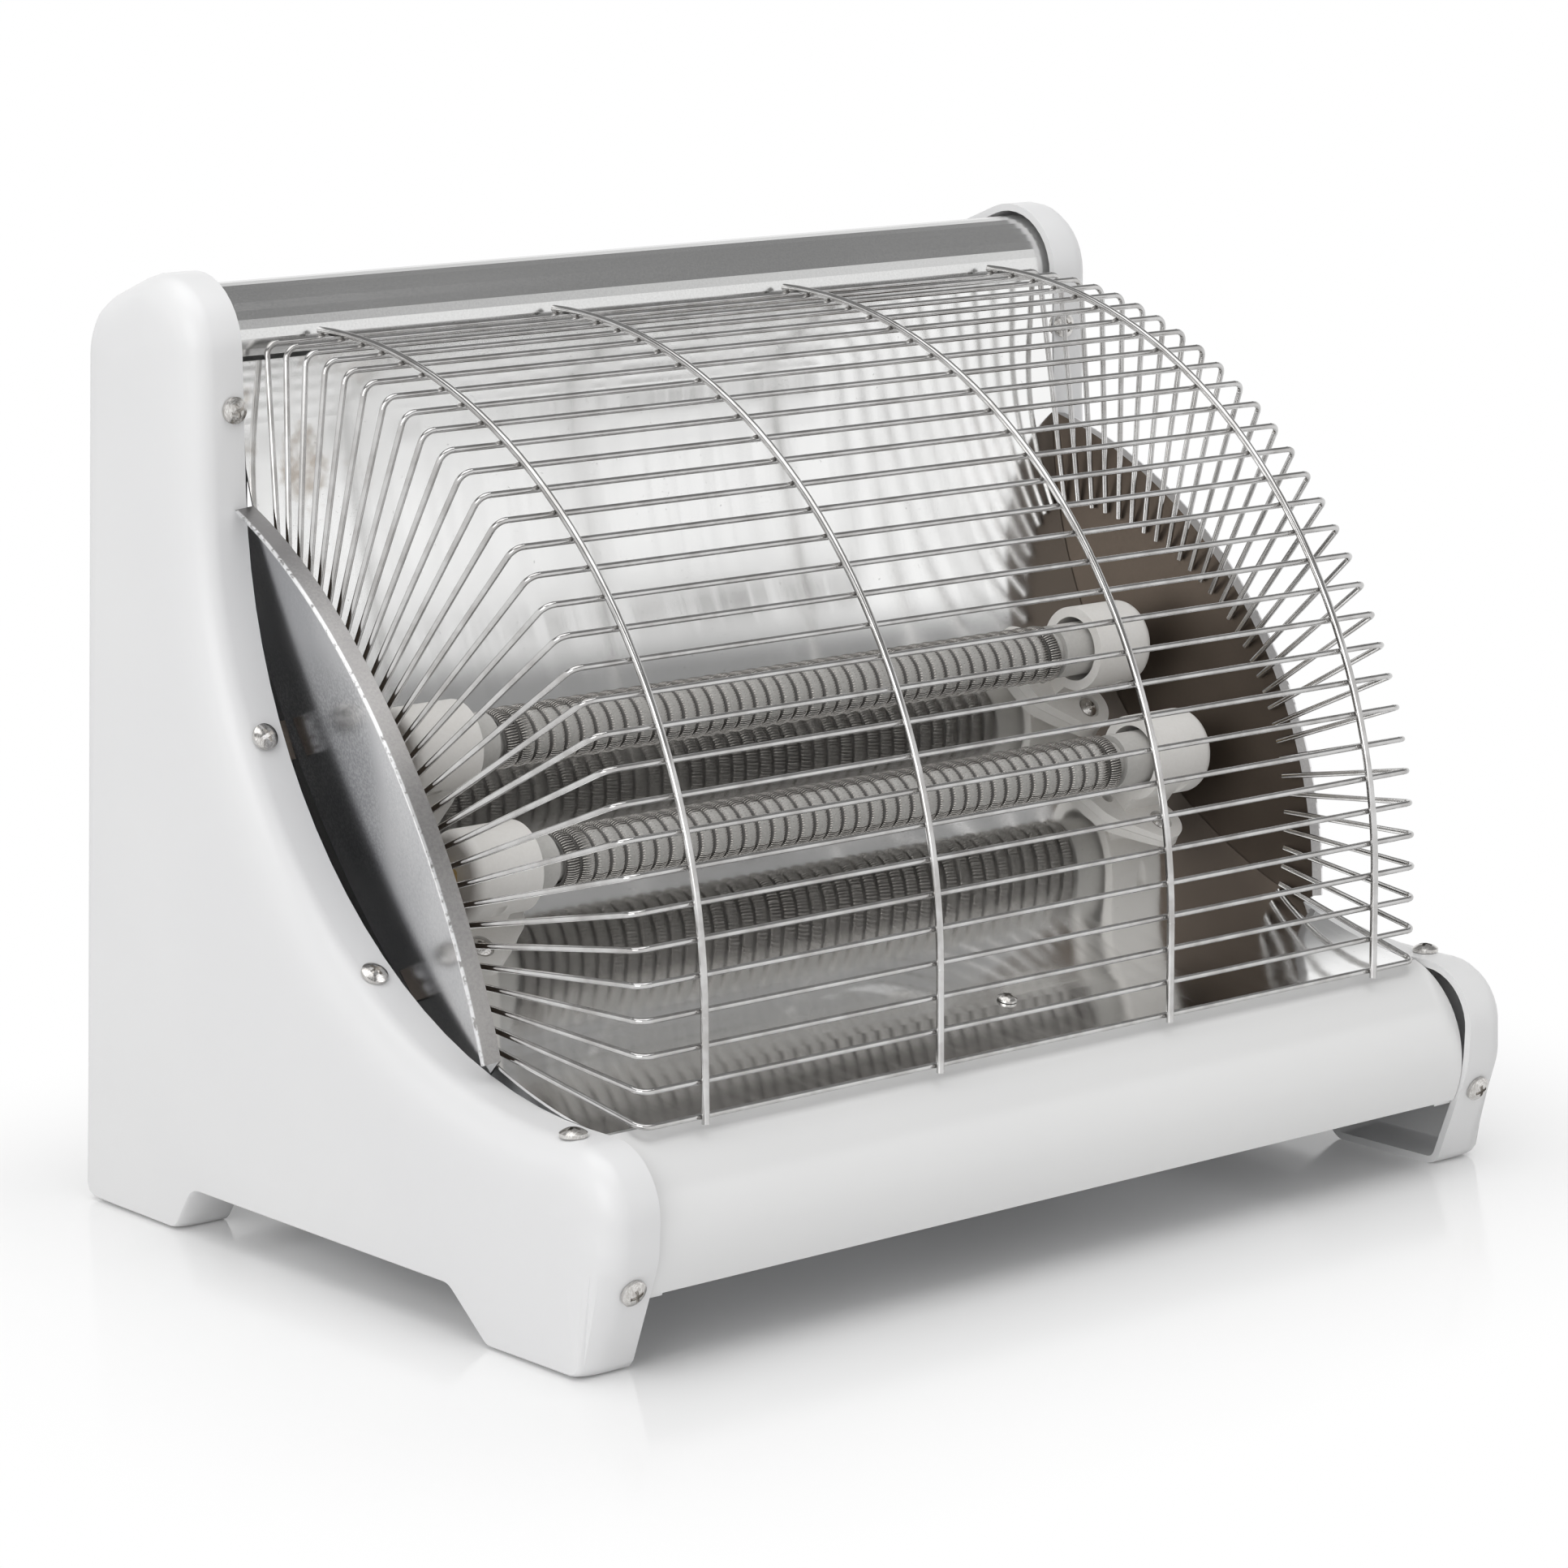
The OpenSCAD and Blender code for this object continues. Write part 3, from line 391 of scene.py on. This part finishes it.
def ceramic_bands(which):
    """Grey ceramic over the rod: one band a turn, which covers the loops on the front."""
    y, z = ROD_AXES[which]
    shape = bmesh.new()
    depth = BAND_CROWN - BAND_GROOVE
    profile = []
    for k in range(BAND_COLUMNS + 1):
        swell = math.sin(math.pi * k / BAND_COLUMNS) ** BAND_SWELL
        along = PITCH * (k / BAND_COLUMNS - 0.5) - WINDING_HALF
        profile.append(shape.verts.new((along, y + BAND_GROOVE + depth * swell, z)))
    edges = [shape.edges.new(pair) for pair in zip(profile, profile[1:])]
    bmesh.ops.spin(shape, geom=profile + edges, cent=(0.0, y, z), axis=(1.0, 0.0, 0.0),
                   dvec=(PITCH / BAND_STEPS, 0.0, 0.0), angle=2.0 * math.pi * TURNS,
                   steps=BAND_STEPS * TURNS)
    bmesh.ops.remove_doubles(shape, verts=shape.verts, dist=BAND_WELD_REACH)
    bmesh.ops.recalc_face_normals(shape, faces=shape.faces)
    for vert in shape.verts:
        out = Vector((vert.co.y - y, vert.co.z - z))
        faced = fall(math.cos(math.atan2(out.y, out.x) - FRONT_ANGLE), *FRONT_SECTOR)
        covered = fall(abs(vert.co.x), *COVERED_ENDS)
        swell = max(out.length - BAND_GROOVE, 0.0) / depth
        out *= 1.0 + FRONT_RAISE * faced * covered * swell ** 2 / out.length
        vert.co.yz = (y + out.x, z + out.y)
    return finished(which + "_bands", shape, BAND_SMOOTH_ANGLE)


GUARD_CENTRE = Vector((59.6, 94.8)) * MM
GUARD_RADIUS = 173.1 * MM
GUARD_RADIUS_AT_WELD = 173.9 * MM
WIRE_PITCH = 10.0 * MM
WIRE_COUNT = 31
HOOPS = [x * MM for x in (-132.4, -45.7, 45.7, 132.4)]
GUARD_START = math.radians(89.9)
WELD_RADIUS = 0.8 * MM
WELD_OFFSET = 1.0 * MM
WELD_STRETCH = (1.5, 0.8, 0.8, 1.0)
WELD_SMOOTH_ANGLE = 60.0


def weld_spots():
    """A small dark blob beside each crossing of a wire and a hoop."""
    shape = bmesh.new()
    for i in range(WIRE_COUNT):
        angle = GUARD_START - i * WIRE_PITCH / GUARD_RADIUS
        if angle > 0:
            spot = GUARD_CENTRE + GUARD_RADIUS_AT_WELD * Vector((-math.cos(angle), math.sin(angle)))
        else:
            spot = GUARD_CENTRE + Vector((-GUARD_RADIUS_AT_WELD, angle * GUARD_RADIUS))
        for x in HOOPS:
            moved = Matrix.Translation((x - WELD_OFFSET, *spot))
            turned = moved @ Matrix.Rotation(max(angle, 0.0), 4, "X")
            bmesh.ops.create_icosphere(shape, subdivisions=1, radius=WELD_RADIUS,
                                       matrix=turned @ Matrix.Diagonal(WELD_STRETCH))
    return finished("weld_spots", shape, WELD_SMOOTH_ANGLE)


def white_plastic():
    f = Finish("white_plastic", Roughness=0.36, Specular_IOR_Level=0.5)
    cloud = f.noise(7.0, 2.0)
    grain = f.noise(2600.0, 2.0, 0.6)
    f.vary(Base_Color=f.blend(cloud.step(0.35, 0.65), (0.80, 0.80, 0.805), (0.83, 0.83, 0.83)),
           Roughness=f.noise(45.0, 4.0) * 0.12 + 0.30)
    f.relief(grain * 0.25 + f.noise(60.0, 2.0), 0.05 * MM, 0.5)
    return f


def white_enamel():
    f = Finish("white_enamel", Coat_Roughness=0.06, Coat_Weight=0.5)
    peel = f.noise(420.0, 2.0, 0.5)
    f.vary(Base_Color=f.blend(f.noise(5.0, 2.0).step(0.3, 0.7), (0.81, 0.81, 0.81), (0.84, 0.84, 0.835)),
           Roughness=f.noise(120.0, 3.0) * 0.08 + 0.16)
    f.relief(peel, 0.02 * MM, 0.6)
    return f


def screw_steel():
    f = Finish("screw_steel", Metallic=1.0)
    scratch = f.noise(900.0, 4.0, 0.6, (1.0, 6.0, 1.0))
    f.vary(Base_Color=f.blend(scratch.step(0.35, 0.7), (0.52, 0.50, 0.48), (0.80, 0.79, 0.77)),
           Roughness=scratch * 0.2 + 0.12)
    f.relief(scratch, 0.03 * MM, 0.5)
    return f


def rolled_sheet(name, light, dark, rough, relief=0.004):
    """Rolled metal with fine lines along the heater's length."""
    f = Finish(name, Metallic=1.0)
    lines = f.noise(300.0, 3.0, 0.6, (0.03, 1.0, 1.0))
    grain = f.noise(1500.0, 3.0, 0.65)
    cloud = f.noise(12.0, 4.0, 0.55, (0.4, 1.0, 1.0))
    f.vary(Base_Color=f.blend((grain * 0.5 + cloud * 0.5).step(0.3, 0.7), dark, light),
           Roughness=cloud.step(0.3, 0.7) * 0.08 + grain * 0.06 + rough)
    f.relief(lines * 0.7 + grain * 0.3, relief * MM, 0.5)
    return f


def mirror_reflector():
    """Hazy mirror: rolled lines along its length, a few runs down it and faint brown heat stains."""
    f = Finish("mirror_reflector", Metallic=1.0)
    lines = f.noise(260.0, 3.0, 0.6, (0.02, 1.0, 1.0))
    runs = f.noise(170.0, 3.0, 0.55, (1.0, 0.06, 0.06))
    cloud = f.noise(16.0, 4.0, 0.55, (0.4, 1.0, 1.0))
    x, _, z = f.axes()
    corner = x.step(-0.105, -0.14) * z.step(0.19, 0.225)
    stain = f.noise(60.0, 3.0, 0.6).step(0.52, 0.72) * corner
    speck = f.noise(900.0, 2.0, 0.5).step(0.70, 0.76)
    clean = f.blend(cloud.step(0.3, 0.7), (0.90, 0.90, 0.895), (0.96, 0.96, 0.955))
    stained = f.blend(stain * 0.7, clean, (0.40, 0.33, 0.26))
    f.vary(Base_Color=f.blend(speck * 0.35, stained, (0.35, 0.34, 0.33)),
           Roughness=cloud.step(0.3, 0.7) * 0.05 + runs.step(0.4, 0.75) * 0.05 + 0.06)
    f.relief(lines * 0.6 + runs * 0.4, 0.004 * MM, 0.4)
    return f


# Right side plate: its outward direction, its middle, and the level of its face along that direction
PLATE_OUT = (0.974, 0.180, -0.135)
PLATE_MIDDLE = (0.1614, -0.0082, 0.1457)
PLATE_LEVEL = sum(out * middle for out, middle in zip(PLATE_OUT, PLATE_MIDDLE))
# How far past that level the flange's free edge begins and ends; past it a ragged near-white highlight is
# painted
FREE_EDGE = (4.9 * MM, 5.5 * MM)


def plate_zinc(side):
    """Zinc sheet, dulled outside and browned by heat on the face towards the rods, with a ragged highlight
    painted along the flange's free edge.
    """
    f = Finish(side + "_plate_zinc", Metallic=1.0)
    out = (PLATE_OUT[0] * (-1.0 if side == "left" else 1.0), *PLATE_OUT[1:])
    facing = f.add("ShaderNodeTexCoord", output=1)
    outer = f.add("ShaderNodeVectorMath", {"operation": "DOT_PRODUCT"}, {0: facing, 1: out}, output=1)
    x, y, z = f.axes()
    spangle = f.noise(1100.0, 4.0, 0.7)
    cloud = f.noise(14.0, 3.0, 0.5)
    # A darker grainy patch midway up the plate, towards its rear
    patch = y.step(-0.012, 0.004) * z.step(0.108, 0.125) * z.step(0.195, 0.165)
    edge = ((x * out[0] + y * out[1] + z * out[2]) - PLATE_LEVEL).step(*FREE_EDGE)
    # Painted highlight: ragged near-white dashes along the flange's free edge
    painted_edge_highlight = edge * f.noise(420.0, 3.0, 0.6).step(0.34, 0.50)
    plain = f.blend((spangle * 0.4 + cloud * 0.6).step(0.35, 0.65), (0.50, 0.505, 0.52), (0.74, 0.74, 0.74))
    with_dark_patch = f.blend(patch * spangle.step(0.35, 0.6) * 0.6, plain, (0.16, 0.165, 0.18))
    browned = f.blend(cloud.step(0.35, 0.65), (0.085, 0.068, 0.055), (0.13, 0.105, 0.085))
    outside = outer.step(-0.3, 0.3)
    bright = f.blend(outside, browned, with_dark_patch)
    # The near-white colour is the painted edge highlight
    f.vary(Base_Color=f.blend(painted_edge_highlight, bright, (0.92, 0.92, 0.93)),
           Roughness=spangle * 0.14 + 0.46 - outside * 0.34)
    f.relief(spangle, 0.006 * MM, 0.5)
    return f


def guard_chrome():
    f = Finish("guard_chrome", Metallic=1.0)
    tarnish = f.noise(90.0, 3.0, 0.6)
    f.vary(Base_Color=f.blend(tarnish.step(0.35, 0.7), (0.62, 0.615, 0.61), (0.46, 0.45, 0.44)),
           Roughness=tarnish * 0.10 + 0.11)
    f.relief(tarnish, 0.01 * MM, 0.3)
    return f


def ceramic(name, light, dark, rough):
    f = Finish(name, Specular_IOR_Level=0.4)
    speck = f.noise(900.0, 4.0, 0.65)
    cloud = f.noise(40.0, 3.0)
    f.vary(Base_Color=f.blend((speck * 0.4 + cloud * 0.6).step(0.3, 0.7), dark, light),
           Roughness=speck * 0.15 + rough)
    f.relief(speck, 0.06 * MM, 0.6)
    return f


def band_paste(which):
    """Satin grey over the loops, with shade painted dark where it lies deep between them."""
    f = Finish(which + "_band_paste", Specular_IOR_Level=0.5)
    y, z = ROD_AXES[which]
    here = f.axes()
    reach = ((here[1] - y) ** 2 + (here[2] - z) ** 2) ** 0.5
    speck = f.noise(1500.0, 4.0, 0.65)
    # Painted shade: dark below the crowns, deep in the grooves between the turns
    crown_clear_of_painted_shade = reach.step(8.05 * MM, 8.75 * MM)
    paste = f.blend(speck.step(0.3, 0.7), (0.36, 0.35, 0.335), (0.44, 0.43, 0.41))
    # The near-black colour is the painted groove shade
    f.vary(Base_Color=f.blend(crown_clear_of_painted_shade, (0.10, 0.095, 0.09), paste),
           Roughness=speck * 0.15 + 0.34)
    f.relief(speck, 0.04 * MM, 0.6)
    return f


def moulded(name, light, dark, rough):
    f = Finish(name)
    grain = f.noise(1800.0, 2.0, 0.6)
    f.vary(Base_Color=f.blend(grain.step(0.3, 0.7), dark, light), Roughness=grain * 0.12 + rough)
    f.relief(grain, 0.03 * MM, 0.5)
    return f


bpy.context.scene.view_settings.view_transform = "Standard"
camera()
world()
floor()
softbox("overhead", (-0.3, -0.2, 1.9), (0.0, 0.0, 0.1), (2.2, 1.6), 18.0)
softbox("left_front", (-2.0, -1.0, 0.9), (0.0, 0.0, 0.15), (1.4, 1.4), 14.0)

FINISHES = {
    "white_plastic": white_plastic(),
    "white_enamel": white_enamel(),
    "screw_steel": screw_steel(),
    "polished_cover": rolled_sheet("polished_cover", (0.78, 0.78, 0.775), (0.68, 0.68, 0.675), 0.10,
                                   relief=0.0015),
    "grey_enamel": moulded("grey_enamel", (0.62, 0.62, 0.62), (0.56, 0.56, 0.56), 0.38),
    "mirror_reflector": mirror_reflector(),
    "zinc_sheet": rolled_sheet("zinc_sheet", (0.70, 0.71, 0.73), (0.52, 0.53, 0.55), 0.28),
    "guard_chrome": guard_chrome(),
    "rod_ceramic": ceramic("rod_ceramic", (0.55, 0.54, 0.52), (0.46, 0.45, 0.43), 0.5),
    "heating_wire": rolled_sheet("heating_wire", (0.62, 0.60, 0.57), (0.36, 0.34, 0.32), 0.18),
    "weld_steel": rolled_sheet("weld_steel", (0.30, 0.29, 0.28), (0.12, 0.115, 0.11), 0.35),
    "holder_ceramic": ceramic("holder_ceramic", (0.80, 0.785, 0.76), (0.74, 0.72, 0.69), 0.42),
    "block_ceramic": ceramic("block_ceramic", (0.78, 0.76, 0.70), (0.70, 0.68, 0.62), 0.5),
    "terminal_brass": rolled_sheet("terminal_brass", (0.80, 0.62, 0.32), (0.62, 0.46, 0.22), 0.22),
    "black_plastic": moulded("black_plastic", (0.035, 0.035, 0.037), (0.022, 0.022, 0.023), 0.38),
    "red_plastic": moulded("red_plastic", (0.62, 0.035, 0.02), (0.52, 0.025, 0.015), 0.26),
    "nylon": moulded("nylon", (0.76, 0.75, 0.71), (0.70, 0.69, 0.65), 0.42),
    "black_rubber": moulded("black_rubber", (0.03, 0.03, 0.03), (0.018, 0.018, 0.018), 0.58),
    "cutout_steel": screw_steel(),
    "holder_screw_steel": screw_steel(),
    "polished_sheet": rolled_sheet("polished_sheet", (0.74, 0.74, 0.735), (0.64, 0.64, 0.635), 0.22),
}
for part in frame["record"]["subparts"]:
    dress(part["node"], FINISHES[part["material_slot"]])


def fit(piece, finish, slot, *nodes):
    """Gives a new piece its finish and its body, and hides the nodes that it stands for; slot is not used.
    """
    piece.data.materials.clear()
    piece.data.materials.append(finish.material)
    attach(piece, "heater")
    if nodes:
        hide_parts(*nodes)


for side in ("left", "right"):
    dress(side + "_side_plate", plate_zinc(side))
    fit(cap_moulding(side), FINISHES["white_plastic"], "white_plastic", side + "_end_cap")
for which in ROD_AXES:
    fit(coiled_wire(which), FINISHES["heating_wire"], "heating_wire", which + "_winding")
    fit(ceramic_bands(which), band_paste(which), "rod_ceramic", which + "_winding")
fit(weld_spots(), FINISHES["weld_steel"], "guard_chrome")
